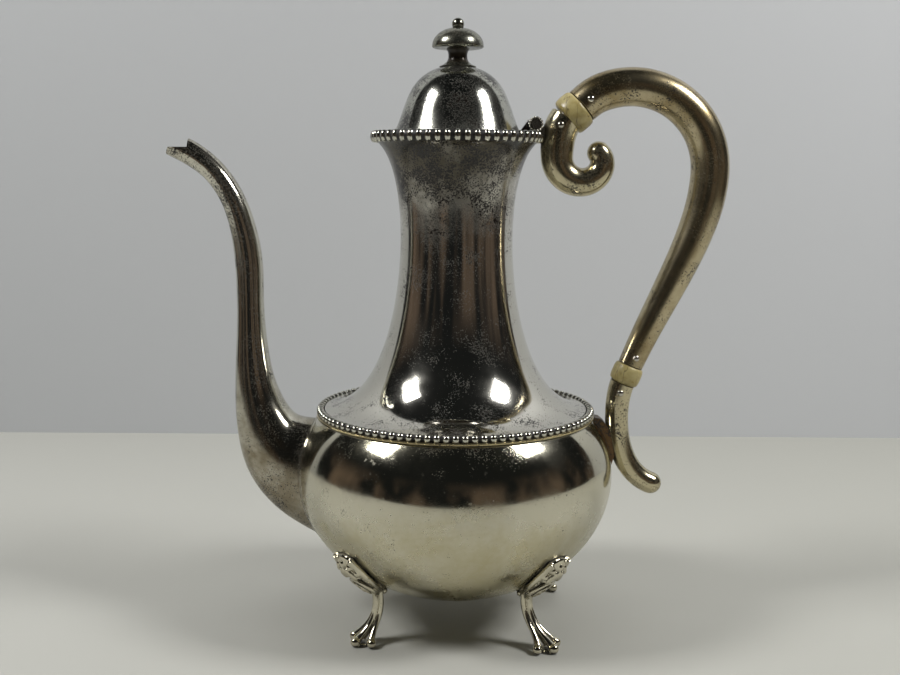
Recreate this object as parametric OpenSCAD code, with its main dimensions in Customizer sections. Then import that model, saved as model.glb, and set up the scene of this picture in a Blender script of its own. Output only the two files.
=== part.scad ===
// Footed coffee pot with a hinged domed lid, an S spout and a scrolled handle
// held in two insulators. Millimetres, Z up, feet on z = 0, spout toward -X.

/* [Globe] */
// widest radius of the globe
globe_r = 57; // [50:0.5:65]
// height of the widest line above the table
globe_z = 56; // [48:0.5:64]
// half height of the upper half, if it closed to a point
globe_up = 41.4; // [36:0.1:48]
// half height of the lower half, if it closed to a point
globe_down = 45.5; // [40:0.1:50]
// radius of the flat under the globe
globe_flat_r = 14; // [8:0.5:20]
// height where the globe ends under the shoulder strip
globe_top_z = 76.9; // [72:0.1:80]
// thickness of the raised silver sheet
wall = 1.2; // [0.8:0.1:2]

/* [Neck] */
// waist radius
neck_r = 19.95; // [17:0.05:24]
// height of the waist
neck_z = 141; // [130:0.5:150]
// outer radius where the neck lands on the shoulder
neck_foot_r = 47.2; // [44:0.1:49]
// height of the neck's outer surface at the shoulder
neck_foot_z = 79.7; // [78:0.1:82]
// radius of the flared lip
lip_r = 28.6; // [26:0.1:31]
// height of the flared lip
lip_z = 174.6; // [168:0.1:180]

/* [Beading] */
// beads in the shoulder row
shoulder_count = 100; // [60:1:120]
// shoulder bead radius
shoulder_bead_r = 1.38; // [1:0.02:1.8]
// radius of the shoulder row
shoulder_row_r = 48.75; // [46:0.05:50]
// height of the shoulder row
shoulder_row_z = 79; // [77:0.1:81]
// beads in the rim row
rim_count = 56; // [36:1:72]
// rim bead radius across the wire
rim_bead_r = 1.5; // [1:0.02:1.8]
// rim bead half height
rim_bead_h = 1.9; // [1.4:0.02:2.4]
// radius of the rim row
rim_row_r = 29.1; // [27:0.05:31]
// height of the rim row
rim_row_z = 176.1; // [170:0.1:180]

/* [Mouth and lid] */
// hole radius of the bearing ring in the mouth
mouth_r = 24.2; // [22:0.1:26]
// underside of the lid's flange
flange_z = 175.9; // [175.7:0.1:176.5]
// radius of the lid's flange
flange_r = 27.1; // [26:0.1:27.2]
// radius of the dome where it leaves the flange
dome_r = 22.3; // [20:0.1:23]
// height of the dome's crest
dome_z = 199.9; // [194:0.1:206]
// radius of the dome's flat crest
crest_r = 6; // [5:0.1:8]
// lid sheet thickness
lid_wall = 1; // [0.6:0.1:1.6]
// outer radius of the skirt that drops into the mouth
bezel_r = 23.2; // [22:0.1:23.5]
// bottom of the skirt
bezel_z = 171.5; // [170:0.1:174]

/* [Finial] */
// stem radius at its narrowest
stem_r = 3.3; // [3:0.1:4.4]
// widest radius of the mushroom cap
cap_r = 9; // [7.5:0.1:10]
// height of the cap's widest line
cap_z = 207; // [205:0.1:209]
// top ball radius
ball_r = 2.15; // [1.6:0.05:3]
// height of the ball's centre
ball_z = 214.6; // [213:0.05:216]
// stud radius through the dome
stud_r = 1.5; // [1:0.1:2]

/* [Hinge] */
// hinge axis, distance from the pot's axis
hinge_x = 26.9; // [26:0.1:28]
// hinge axis height
hinge_z = 180.4; // [180.3:0.1:182]
// knuckle radius
knuckle_r = 2.4; // [2.2:0.05:2.5]
// half length of the lid's knuckle
lid_knuckle_y = 3.7; // [3:0.1:5]
// half length of the whole hinge
hinge_y = 9.5; // [8:0.1:12]
// side gap between the knuckles
hinge_gap = 0.3; // [0.2:0.05:0.5]
// pin radius
hinge_pin_r = 1; // [0.8:0.05:1.2]
// radial clearance of the lid's knuckle on the pin
hinge_clearance = 0.05; // [0.02:0.01:0.1]

/* [Spout] */
// half height of the oval where the spout meets the globe
spout_base_a = 22.3; // [18:0.1:25]
// half width of the same oval
spout_base_b = 15; // [12:0.1:20]
// radius of the tube at the narrow part
spout_r = 4.9; // [4:0.1:6]
// spout sheet thickness
spout_wall = 1; // [0.7:0.1:1.5]
// height of the step that opens the beak
beak_z = 172; // [170:0.1:174]
// place of the step that opens the beak
beak_x = -94.3; // [-98:0.1:-90]
// holes pierced behind the spout, round one in the middle
strainer_count = 8; // [4:1:12]
// radius of a pierced hole
strainer_r = 1.8; // [1:0.1:3]

/* [Handle] */
// centre of the grip's round bend
bend_x = 60.9; // [55:0.1:65]
// height of the same centre
bend_z = 165.4; // [160:0.1:170]
// radius of the bend's middle line
bend_r = 28.4; // [24:0.1:32]
// tube radius at the top of the bend
grip_r = 6.75; // [5.5:0.05:8]
// tube radius at the lower end
grip_end_r = 4.5; // [4:0.05:6]
// handle sheet thickness
grip_wall = 0.9; // [0.6:0.1:1.4]
// bulge radius of the upper insulator
upper_bone_r = 7.1; // [6.5:0.05:8]
// bulge radius of the lower insulator
lower_bone_r = 5.4; // [4.8:0.05:6]
// radius of the upper insulator's pegs
upper_peg_r = 4.2; // [3:0.1:5]
// radius of the lower insulator's pegs
lower_peg_r = 3; // [2:0.1:4]
// peg length into the silver
peg_length = 6; // [4:0.5:8]
// cross pin radius
pin_r = 1.1; // [0.8:0.05:1.5]
// cross pin's distance from the insulator's end
pin_set = 3.4; // [2.5:0.1:4.5]

/* [Scroll] */
// centre of the curl under the upper insulator
curl_x = 45.2; // [42:0.1:48]
// height of the same centre
curl_z = 169.2; // [165:0.1:173]
// middle-line radius where the curl begins
curl_start = 10.1; // [8:0.1:12]
// middle-line radius where the curl ends
curl_end = 4.9; // [4:0.1:7]
// tube radius at the curl's tip
curl_tip_r = 4.1; // [3:0.1:5]

/* [Feet] */
// radius of the ring the feet stand on
foot_ring_r = 44; // [40:0.1:50]
// how far that ring sits toward the handle
foot_shift = 2.2; // [0:0.1:3]
// turn of the four feet about the pot's axis
foot_turn = -4; // [-15:0.5:15]
// length of the knee plate along the globe
knee_length = 22.5; // [14:0.5:26]
// width of the knee plate
knee_width = 11.5; // [8:0.5:14]
// height of the knee plate above the globe
knee_height = 3.5; // [2:0.1:4.5]
// shank radius at its slimmest
shank_r = 1.9; // [1.5:0.05:3]
// toe ball radius
toe_r = 1.65; // [1.2:0.05:2.2]
// sideways spread of the outer toes
toe_spread = 4.5; // [3:0.1:5]

/* [Hidden] */
$fn = 96;
// pot axis, set so that the whole part is centred on x = 0
axis_x = 3.1;
silver = [0.80, 0.80, 0.78];
worn = [0.70, 0.66, 0.56];
bone = [0.87, 0.82, 0.62];

// ---- curves -------------------------------------------------------------
function mix(a, b, t) = a + (b - a) * t;
function bez(p, t) = pow(1 - t, 3) * p[0] + 3 * pow(1 - t, 2) * t * p[1]
    + 3 * (1 - t) * t * t * p[2] + pow(t, 3) * p[3];
function curve(p, n, from = 0) = [for (i = [from:n]) bez(p, i / n)];
function unit(v) = v / norm(v);
function dir(P, i) = unit([P[min(i + 1, len(P) - 1)][0] - P[max(i - 1, 0)][0],
    P[min(i + 1, len(P) - 1)][1] - P[max(i - 1, 0)][1]]);
// the same outline moved t to its left side
function beside(P, t) = [for (i = [0:len(P) - 1])
    let (d = dir(P, i)) [P[i][0] - t * d[1], P[i][1] + t * d[0]]];
function flip(P) = [for (i = [len(P) - 1:-1:0]) P[i]];
function globe_at(z, less = 0) = let (
        b = (z > globe_z ? globe_up : globe_down) - less,
        k = (z - globe_z) / b)
    (globe_r - less) * sqrt(max(0, 1 - k * k));

module place() {
    translate([axis_x, 0, 0]) children();
}

// ---- swept tubes: rings of [x, z, half depth in the plane, half width] ----
function ring(P, i, n) = let (d = dir(P, i)) [for (j = [0:n - 1])
    let (a = 360 * j / n)
    [P[i][0] - P[i][2] * cos(a) * d[1], P[i][3] * sin(a),
        P[i][1] + P[i][2] * cos(a) * d[0]]];
function rings(P, n) = [for (i = [0:len(P) - 1]) ring(P, i, n)];
function skin(a, b, n) = [for (j = [0:n - 1]) let (k = (j + 1) % n)
    each [[a + j, b + k, b + j], [a + j, a + k, b + k]]];
function flat(R) = [for (r = R) for (p = r) p];

module solid_rings(R) {
    n = len(R[0]);
    m = len(R);
    polyhedron(points = flat(R), faces = concat(
        [[for (j = [0:n - 1]) n - 1 - j]],
        [for (i = [0:m - 2]) each skin(i * n, (i + 1) * n, n)],
        [[for (j = [0:n - 1]) (m - 1) * n + j]]), convexity = 8);
}

// rings joined into one closed loop, each ring a section of the loop
module loop_rings(R) {
    n = len(R[0]);
    m = len(R);
    polyhedron(points = flat(R), faces =
        [for (i = [0:m - 1]) each skin(i * n, ((i + 1) % m) * n, n)],
        convexity = 8);
}

// a lathe turned outline with the metal on its left side
module shell(P, t) {
    rotate_extrude() polygon(concat(P, flip(beside(P, t))));
}

// ---- globe and neck -------------------------------------------------------
globe_flat_z = globe_z - globe_down * sqrt(1 - pow(globe_flat_r / globe_r, 2));
globe_steps = 26;

function globe_line(less) = let (
        z0 = globe_flat_z + less,
        b = globe_down - less,
        a0 = asin((z0 - globe_z) / b),
        a1 = asin((globe_top_z - globe_z) / (globe_up - less)))
    [for (i = [0:globe_steps]) let (
        a = mix(a0, a1, i / globe_steps),
        h = a > 0 ? globe_up - less : b)
        [(globe_r - less) * cos(a), globe_z + h * sin(a)]];

module globe() {
    color(silver) place() difference() {
        rotate_extrude() polygon(concat([[0, globe_flat_z]], globe_line(0),
            flip(globe_line(wall)), [[0, globe_flat_z + wall]]));
        strainer_holes();
    }
}

module strainer_holes() {
    translate([-globe_r - 5, 0, spout_mid_z]) rotate([0, 90, 0])
        cylinder(r = strainer_r, h = 18);
    for (i = [0:strainer_count - 1]) {
        a = 360 * i / strainer_count;
        translate([-globe_r - 5, 7 * sin(a), spout_mid_z + 11 * cos(a)])
            rotate([0, 90, 0]) cylinder(r = strainer_r, h = 22);
    }
}

neck_low = [[neck_foot_r, neck_foot_z], [27.8, neck_foot_z + 1.3],
    [neck_r, neck_z - 26.4], [neck_r, neck_z]];
neck_high = [[neck_r, neck_z], [neck_r, neck_z + 15.2],
    [lip_r - 6, lip_z - 4.5], [lip_r, lip_z]];
neck_line = concat(curve(neck_low, 18), curve(neck_high, 12, 1));
strip_top_z = 77.8;

module neck() {
    color(silver) place() rotate_extrude() difference() {
        polygon(concat([[neck_foot_r, strip_top_z]], neck_line,
            flip(beside(neck_line, wall)), [[neck_foot_r - 1.4, strip_top_z]]));
        translate([0, lip_z]) square([40, 5]);
    }
}

module shoulder_strip() {
    color(worn) place() rotate_extrude() polygon([[46, globe_top_z],
        [49.8, globe_top_z], [50.1, 77.1], [50.1, 77.6], [49.9, strip_top_z],
        [46, strip_top_z]]);
}

// a wire pressed into beads: thin between them, full at their middles
function beaded(count, row_r, row_z, r, h, sides, steps) =
    [for (k = [0:count * steps - 1]) let (
        a = 360 * k / (count * steps),
        u = 2 * (k % steps) / steps - 1,
        s = 0.5 + 0.5 * sqrt(max(0, 1 - u * u)))
        [for (j = [0:sides - 1]) let (
            b = 360 * (j + 0.5) / sides,
            q = row_r + r * s * cos(b))
            [q * cos(a), q * sin(a), row_z + h * s * sin(b)]]];

module shoulder_beads() {
    color(silver) place() loop_rings(beaded(shoulder_count, shoulder_row_r,
        shoulder_row_z, shoulder_bead_r, shoulder_bead_r, 6, 4));
}

module rim_beads() {
    color(silver) place() loop_rings(beaded(rim_count, rim_row_r, rim_row_z,
        rim_bead_r, rim_bead_h, 8, 4));
}

module mouth_ring() {
    color(silver) place() rotate_extrude() polygon([[mouth_r, lip_z],
        [lip_r - 0.2, lip_z], [lip_r - 0.2, lip_z + 0.9],
        [mouth_r, lip_z + 0.9]]);
}

// ---- spout ----------------------------------------------------------------
spout_mid_z = 52.4;
// stations up the spout: back x, back z, front x, front z, half width
spout_stations = [[-47, 30.1, -51, 74.7, spout_base_b],
    [-61.5, 38.5, -57.5, 75.8, spout_base_b - 1.6],
    [-71, 47.7, -61, 79.5, spout_base_b - 3.2],
    [-77, 58.8, -63.5, 84, 10], [-79.6, 73, -66, 91, 7.8],
    [-79.8, 90, -67.8, 101, 6.1], [-78.6, 113, -69, 115, spout_r + 0.2],
    [-79.2, 135, -69.3, 135, spout_r], [-82.5, 150.7, -74.4, 153.6, 4.6],
    [-88.5, 160.6, -81.9, 165.7, 4.4], [-95.5, 165.9, -90.9, 173.3, 4.3],
    [-102.3, 169.4, -98.5, 176.8, 4.2]];

// a smooth line through every station
function through(P, n) = concat([for (i = [0:len(P) - 2]) each
    [for (j = [0:n - 1]) let (
        t = j / n,
        a = P[max(i - 1, 0)],
        b = P[i],
        c = P[i + 1],
        d = P[min(i + 2, len(P) - 1)])
        0.5 * (2 * b + (c - a) * t + (2 * a - 5 * b + 4 * c - d) * t * t
            + (3 * b - a - 3 * c + d) * t * t * t)]], [P[len(P) - 1]]);

function thinner(P, t) = [for (p = P) [p[0], p[1], p[2] - t, p[3] - t]];
// a ring scribed to the globe, lifted off it by lift
function scribed(a, b, n, lift) = [for (j = [0:n - 1]) let (
        z = spout_mid_z + a * cos(360 * j / n),
        y = -b * sin(360 * j / n),
        r = globe_at(z) + lift)
        [-sqrt(r * r - y * y), y, z]];
// a ring between the back and front of one station, t inside its skin
function station_ring(s, t, n) = let (
        back = [s[0], s[1]],
        front = [s[2], s[3]],
        mid = (back + front) / 2,
        half = norm(front - back) / 2,
        up = unit(front - back) * (half - t))
    [for (j = [0:n - 1]) let (a = 360 * j / n)
        [mid[0] + up[0] * cos(a), -(s[4] - t) * sin(a),
            mid[1] + up[1] * cos(a)]];
spout_steps = through(spout_stations, 3);
function spout_rings(t, n) =
    concat([scribed(spout_base_a - t, spout_base_b - t, n, 0)],
        [for (i = [1:len(spout_steps) - 1])
            station_ring(spout_steps[i], t, n)]);

module spout() {
    n = 22;
    A = spout_rings(0, n);
    B = spout_rings(spout_wall, n);
    color(silver) place() difference() {
        loop_rings(concat(A, flip(B)));
        translate([beak_x - 20, -10, beak_z]) cube([20, 20, 20]);
    }
}

// a fillet of solder and silver round the seam
module spout_collar() {
    n = 40;
    color(worn) place() loop_rings([for (e = [[3, 0], [0.9, 1], [0.1, 1],
        [0.1, 0]]) scribed(spout_base_a + e[0], spout_base_b + e[0], n,
            e[1])]);
}

// ---- handle ---------------------------------------------------------------
upper_start = [38.35, 182.55];
upper_stop = [43.35, 186.9];
upper_dir = unit(upper_stop - upper_start);
lower_start = [63.2, 95.15];
lower_stop = [60.6, 88.7];
lower_dir = unit(lower_stop - lower_start);

bend_from = [bend_x - bend_r * 0.3, bend_z + bend_r * 0.954, 6.7, 6.7];
grip_rise = [[upper_stop[0], upper_stop[1], 6.4, 6.4],
    [upper_stop[0] + 4 * upper_dir[0], upper_stop[1] + 4 * upper_dir[1],
        6.5, 6.5],
    [bend_from[0] - 5, bend_from[1] - 1.7, 6.6, 6.6], bend_from];
grip_bend = [for (i = [1:16]) let (a = 107.5 - i * 107.5 / 16)
    [bend_x + bend_r * cos(a), bend_z + bend_r * sin(a), grip_r, grip_r]];
grip_fall = [[bend_x + bend_r, bend_z, grip_r, grip_r],
    [bend_x + bend_r, bend_z - 22, grip_r, grip_r],
    [73.3, 120.3, 5.3, 5.3],
    [lower_start[0], lower_start[1], grip_end_r, grip_end_r]];
grip_line = concat(curve(grip_rise, 6), grip_bend, curve(grip_fall, 18, 1));

module grip() {
    n = 20;
    color(worn) place() difference() {
        loop_rings(concat(rings(grip_line, n),
            flip(rings(thinner(grip_line, grip_wall), n))));
        pin_at(upper_stop, upper_dir, pin_set) pin_hole();
        pin_at(lower_start, -lower_dir, pin_set) pin_hole();
    }
}

module pin_at(p, d, s) {
    translate([p[0] + s * d[0], 0, p[1] + s * d[1]]) children();
}

module pin_hole() {
    rotate([90, 0, 0]) cylinder(r = pin_r, h = 24, center = true, $fn = 32);
}

// a headed cross pin that shows on both sides
module cross_pin(half) {
    rotate([90, 0, 0]) {
        cylinder(r = pin_r, h = 2 * half, center = true, $fn = 32);
        for (s = [0, 1]) mirror([0, 0, s]) translate([0, 0, half])
            intersection() {
                translate([0, 0, -0.6]) sphere(r = pin_r + 0.1, $fn = 32);
                translate([-2, -2, -0.1]) cube([4, 4, 2]);
            }
    }
}

// a barrel between two pegs, its axis on the line from p to q
module insulator(p, q, end_r, bulge_r, peg_r) {
    d = unit(q - p);
    h = norm(q - p);
    line = [for (i = [0:12]) let (u = i / 6 - 1)
        [mix(end_r, bulge_r, sqrt(1 - u * u * u * u)), h * i / 12]];
    translate([p[0], 0, p[1]]) rotate([0, atan2(d[0], d[1]), 0])
        rotate_extrude() polygon(concat([[0, -peg_length], [peg_r, -peg_length],
            [peg_r, 0]], line, [[peg_r, h], [peg_r, h + peg_length],
            [0, h + peg_length]]));
}

module upper_insulator() {
    color(bone) place() difference() {
        insulator(upper_start, upper_stop, 6.3, upper_bone_r, upper_peg_r);
        pin_at(upper_stop, upper_dir, pin_set) pin_hole();
        pin_at(upper_start, -upper_dir, pin_set) pin_hole();
    }
}

module lower_insulator() {
    color(bone) place() difference() {
        insulator(lower_start, lower_stop, grip_end_r, lower_bone_r,
            lower_peg_r);
        pin_at(lower_start, -lower_dir, pin_set) pin_hole();
        pin_at(lower_stop, lower_dir, pin_set) pin_hole();
    }
}

module upper_grip_pin() {
    color(silver) place() pin_at(upper_stop, upper_dir, pin_set)
        cross_pin(6.5);
}

module upper_socket_pin() {
    color(silver) place() pin_at(upper_start, -upper_dir, pin_set)
        cross_pin(6.15);
}

module lower_grip_pin() {
    color(silver) place() pin_at(lower_start, -lower_dir, pin_set)
        cross_pin(4.75);
}

module lower_socket_pin() {
    color(silver) place() pin_at(lower_stop, lower_dir, pin_set)
        cross_pin(4.35);
}

// the socket drops from the insulator, then winds into a curl
socket_drop = [[upper_start[0], upper_start[1], 6.15, 6.15],
    [upper_start[0] - 2.2, upper_start[1] - 2.3, 6.1, 6.1],
    [curl_x - curl_start, curl_z + 6.5, 6, 6],
    [curl_x - curl_start, curl_z + 1.2, 5.8, 5.8]];
curl = [for (i = [0:22]) let (u = i / 22, a = 175 + 205 * u)
    let (r = curl_start - (curl_start - curl_end) * pow(u, 1.55),
        w = mix(5.75, curl_tip_r, u))
    [curl_x + r * cos(a), curl_z + r * sin(a), w, w]];
// a round end that closes a swept tube
function round_end(P, n) = let (e = P[len(P) - 1], d = dir(P, len(P) - 1))
    [for (i = [1:n]) let (a = 82 * i / n)
        [e[0] + e[2] * sin(a) * d[0], e[1] + e[2] * sin(a) * d[1],
            e[2] * cos(a), e[3] * cos(a)]];
socket_line = concat(curve(socket_drop, 8), curl);

module upper_socket() {
    color(worn) place() difference() {
        solid_rings(concat(rings(socket_line, 18),
            end_rings(socket_line, 18)));
        peg_hole(upper_start, -upper_dir, upper_peg_r);
        pin_at(upper_start, -upper_dir, pin_set) pin_hole();
    }
}

// rings of the round end, all square to the tube's last direction
function end_rings(P, n) = let (d = dir(P, len(P) - 1), E = round_end(P, 4))
    [for (e = E) [for (j = [0:n - 1]) let (a = 360 * j / n)
        [e[0] - e[2] * cos(a) * d[1], e[3] * sin(a),
            e[1] + e[2] * cos(a) * d[0]]]];

module peg_hole(p, d, r) {
    translate([p[0] - 0.5 * d[0], 0, p[1] - 0.5 * d[1]])
        rotate([0, atan2(d[0], d[1]), 0])
        cylinder(r = r, h = peg_length + 0.6, $fn = 48);
}

tail = [[lower_stop[0], lower_stop[1], 4.45, 4.45],
    [57.1, 80, 4.2, 4.2], [57.6, 56.5, 3.9, 3.9], [71.8, 51.4, 4, 4]];
tail_line = curve(tail, 20);

module lower_socket() {
    color(worn) place() difference() {
        solid_rings(concat(rings(tail_line, 18), end_rings(tail_line, 18)));
        peg_hole(lower_stop, lower_dir, lower_peg_r);
        pin_at(lower_stop, lower_dir, pin_set) pin_hole();
    }
}

// a saddle from the globe's shoulder to the tail
module lower_bracket() {
    z0 = 58.5;
    z1 = 75.6;
    color(worn) place() rotate([90, 0, 0]) linear_extrude(6, center = true)
        polygon(concat(
            [for (i = [0:10]) let (z = mix(z0, z1, i / 10)) [globe_at(z), z]],
            [[50.6, 76.2], [52.3, 76], [54, 74.6], [56.2, 71]],
            [[57.2, 66], [58, 62.4]]));
}

module rim_lug() {
    color(worn) place() translate([29.7, -2.2, 174.5]) cube([1.6, 4.4, 3]);
}

// ---- feet: local frame, X outward from the pot's axis ----------------------
knee_z = 27.2;
foot_sides = 20;
// a point lifted h off the globe, s along its side and w across
function on_globe(s, w, h) = let (
        k = globe_r / globe_down,
        a = acos((globe_z - knee_z) / globe_down) + s / 50 * 57.3,
        x = globe_r * sin(a),
        z = globe_z - globe_down * cos(a),
        g = unit([sin(a) / globe_r, -cos(a) / globe_down]))
    let (r = x + h * g[0])
    [r * cos(57.3 * w / r), r * sin(57.3 * w / r), z + h * g[1]];
function lobe(a) = 1 + 0.09 * cos(3 * a);
function knee_ring(q, h) = [for (j = [0:foot_sides - 1]) let (
        a = 360 * j / foot_sides,
        u = q * lobe(a))
        on_globe(u * knee_length / 2 * cos(a),
            u * knee_width / 2 * sin(a), h)];
knee_top = [for (i = [0:4]) let (a = 88 * i / 4)
    knee_ring(max(0.06, cos(a)), knee_height * (0.25 + 0.75 * sin(a)))];

// the shank of a foot that stands r from the pot's axis
function shank(r) = [[37.4, 21, 2.6, 2.9], [34.9, 11, 1.5, 1.9],
    [r - 4.3, 7.2, 1.5, 1.9], [r - 0.2, 2.2, 1.9, 2.6]];

module foot(r) {
    solid_rings(concat([knee_ring(0.06, 0), knee_ring(1, 0)], knee_top));
    solid_rings(rings(curve(shank(r), 12), 12));
    translate([r, 0, 0]) cylinder(r = 3.2, h = 1.3, $fn = 40);
    for (s = [-1, 0, 1]) translate([r + 2.6 - 2.7 * abs(s), s * toe_spread,
        toe_r + 0.1]) sphere(r = toe_r, $fn = 32);
}

module foot_at(a) {
    x = foot_shift + foot_ring_r * cos(a + foot_turn);
    y = foot_ring_r * sin(a + foot_turn);
    color(silver) place() rotate([0, 0, atan2(y, x)]) foot(norm([x, y]));
}

module foot_front_right() { foot_at(-45); }
module foot_front_left() { foot_at(-135); }
module foot_back_left() { foot_at(135); }
module foot_back_right() { foot_at(45); }

// ---- hinge ----------------------------------------------------------------
module along_y(y0, y1, r, sides = 48) {
    translate([hinge_x, y1, hinge_z]) rotate([90, 0, 0])
        cylinder(r = r, h = y1 - y0, $fn = sides);
}

module hinge_leaf() {
    y0 = lid_knuckle_y + hinge_gap;
    color(silver) place() for (s = [0, 1]) mirror([0, s, 0]) difference() {
        union() {
            along_y(y0, hinge_y, knuckle_r);
            translate([hinge_x + 0.9, y0, rim_row_z + 0.6])
                cube([2.2, hinge_y - y0 - 0.6, 3]);
        }
        along_y(y0 - 1, hinge_y + 1, hinge_pin_r);
    }
}

module hinge_pin() {
    color(silver) place() {
        along_y(-hinge_y - 0.2, hinge_y + 0.2, hinge_pin_r);
        for (s = [0, 1]) mirror([0, s, 0])
            along_y(hinge_y, hinge_y + 0.7, knuckle_r * 0.62);
    }
}

module lid_leaf() {
    y = lid_knuckle_y;
    color(silver) place() difference() {
        union() {
            along_y(-y, y, knuckle_r);
            translate([0, y, 0]) rotate([90, 0, 0]) linear_extrude(2 * y)
                polygon([[21.6, flange_z + 1.2], [25.4, flange_z + 1.2],
                    [hinge_x - 1, hinge_z - 2], [hinge_x - 1, hinge_z + 1.6],
                    [hinge_x - 1.7, hinge_z + 1.7], [24.2, 181.2],
                    [22, 178.3]]);
        }
        along_y(-y - 1, y + 1, hinge_pin_r + hinge_clearance);
    }
}

// ---- lid ------------------------------------------------------------------
dome_low_z = flange_z + 1.2;
dome_line = curve([[dome_r, dome_low_z], [dome_r - 4.5, dome_low_z + 9.1],
    [dome_r - 4.4, dome_z - 3.3], [crest_r, dome_z]], 20);

module lid_dome() {
    inner = beside(dome_line, lid_wall);
    color(silver) place() rotate_extrude() polygon(concat(
        [[flange_r - 0.3, flange_z], [flange_r, flange_z + 0.3],
            [flange_r, dome_low_z - 0.3], [flange_r - 0.3, dome_low_z]],
        dome_line, [[stud_r, dome_z], [stud_r, dome_z - lid_wall]],
        flip([for (i = [2:len(inner) - 1]) inner[i]]),
        [[dome_r - 1.6, flange_z]]));
}

module lid_bezel() {
    color(silver) place() rotate_extrude() polygon([[bezel_r - 0.9, bezel_z],
        [bezel_r, bezel_z], [bezel_r, flange_z], [bezel_r - 0.9, flange_z]]);
}

module finial_collar() {
    color(silver) place() rotate_extrude() polygon([[stud_r, dome_z],
        [6.2, dome_z], [6.45, dome_z + 0.2], [6.3, dome_z + 0.5],
        [5.4, dome_z + 0.8], [4.7, dome_z + 1.2], [4.3, dome_z + 1.6],
        [stud_r, dome_z + 1.6]]);
}

stem_z = dome_z + 1.6;
stem_top_z = cap_z - 0.8;
stem_line = [for (i = [0:14]) let (u = i / 14)
    [stem_r + 0.8 * pow(abs(2 * u - 1), 2.5), mix(stem_z, stem_top_z, u)]];

// the stem carries the stud that passes through the collar and the dome
module finial_stem() {
    color(silver) place() rotate_extrude() polygon(concat(
        [[0, dome_z - lid_wall - 3.4], [stud_r, dome_z - lid_wall - 3.4],
            [stud_r, stem_z]], stem_line, [[0, stem_top_z]]));
}

cap_line = [for (i = [0:12]) let (a = 90 * i / 12)
    [cap_r * pow(cos(a), 0.9), cap_z + 6.4 * sin(a)]];

module finial_cap() {
    color(silver) place() rotate_extrude() polygon(concat(
        [[0, stem_top_z], [stem_r + 1, stem_top_z], [cap_r - 1.6, cap_z - 0.7],
            [cap_r - 0.5, cap_z - 0.6], [cap_r - 0.1, cap_z - 0.3]],
        [for (i = [0:10]) cap_line[i]], [[2.4, cap_z + 6.05],
            [0, cap_z + 6.05]]));
}

module finial_ball() {
    color(silver) place() difference() {
        translate([0, 0, ball_z]) sphere(r = ball_r, $fn = 48);
        translate([-4, -4, ball_z - 4 - ball_r + 0.55]) cube([8, 8, 4]);
    }
}

module finial_nut() {
    color(worn) place() difference() {
        translate([0, 0, dome_z - lid_wall - 2.6])
            cylinder(r = 4, h = 2.5, $fn = 48);
        cylinder(r = stud_r, h = 220, $fn = 96);
    }
}

globe();
neck();
shoulder_strip();
shoulder_beads();
mouth_ring();
rim_beads();
spout();
spout_collar();
rim_lug();
upper_socket();
upper_insulator();
upper_socket_pin();
upper_grip_pin();
grip();
lower_grip_pin();
lower_insulator();
lower_socket_pin();
lower_socket();
lower_bracket();
foot_front_left();
foot_front_right();
foot_back_left();
foot_back_right();
hinge_leaf();
hinge_pin();
lid_dome();
lid_bezel();
lid_leaf();
finial_collar();
finial_stem();
finial_cap();
finial_ball();
finial_nut();
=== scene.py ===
from math import acos, asin, atan2, copysign, cos, hypot, pi, radians, sin, sqrt

import bmesh
import bpy
from mathutils import Matrix, Vector


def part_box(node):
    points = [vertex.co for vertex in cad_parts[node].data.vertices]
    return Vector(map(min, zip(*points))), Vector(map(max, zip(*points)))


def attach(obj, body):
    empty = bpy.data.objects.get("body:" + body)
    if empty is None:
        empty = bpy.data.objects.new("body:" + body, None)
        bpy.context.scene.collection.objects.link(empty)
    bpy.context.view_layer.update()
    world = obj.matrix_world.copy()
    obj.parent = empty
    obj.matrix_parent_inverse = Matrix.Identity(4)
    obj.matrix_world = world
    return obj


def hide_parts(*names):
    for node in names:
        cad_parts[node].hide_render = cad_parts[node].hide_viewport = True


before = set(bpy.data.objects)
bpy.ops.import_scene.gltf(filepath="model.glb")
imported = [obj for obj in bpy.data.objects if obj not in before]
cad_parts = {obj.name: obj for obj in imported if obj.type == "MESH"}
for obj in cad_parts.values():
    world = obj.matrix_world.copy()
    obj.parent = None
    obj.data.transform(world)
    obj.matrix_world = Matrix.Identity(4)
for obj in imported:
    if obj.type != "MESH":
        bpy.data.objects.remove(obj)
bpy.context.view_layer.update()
scene = bpy.context.scene

# Pieces are modelled in millimetres about the pot's own axis, then placed.
bezel_low, bezel_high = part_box("lid_bezel")
AXIS_X = (bezel_low.x + bezel_high.x) / 2
PLACE = Matrix.Translation((AXIS_X, 0, 0)) @ Matrix.Scale(0.001, 4)

# ---- sizes in millimetres ---------------------------------------------------
# The rim's grains are taller than in the part's source (RIM_BEAD_H) and their row
# is a little lower (RIM_Z).
GLOBE_R, GLOBE_Z, GLOBE_UP, GLOBE_DOWN = 57, 56, 41.4, 45.5
GLOBE_FLAT_R, GLOBE_TOP_Z = 14, 76.9
SHEET = 1.2
NECK_LOW = [(47.2, 79.7), (27.8, 81), (19.95, 114.6), (19.95, 141)]
NECK_HIGH = [(19.95, 141), (19.95, 156.2), (22.6, 170.1), (28.6, 174.6)]
STRIP_TOP_Z = 77.8
SHOULDER_BEADS, SHOULDER_BEAD_R, SHOULDER_R, SHOULDER_Z = 100, 1.38, 48.75, 79
RIM_BEADS, RIM_BEAD_R, RIM_BEAD_H, RIM_R, RIM_Z = 56, 1.5, 2.05, 29.1, 176.0
FLANGE_Z, DOME_R, DOME_Z = 175.9, 22.3, 199.9
HINGE_X, HINGE_Z, HINGE_Y = 26.9, 180.4, 9.5
SPOUT_Z, SPOUT_BASE_A, SPOUT_BASE_B = 52.4, 22.3, 15
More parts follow.
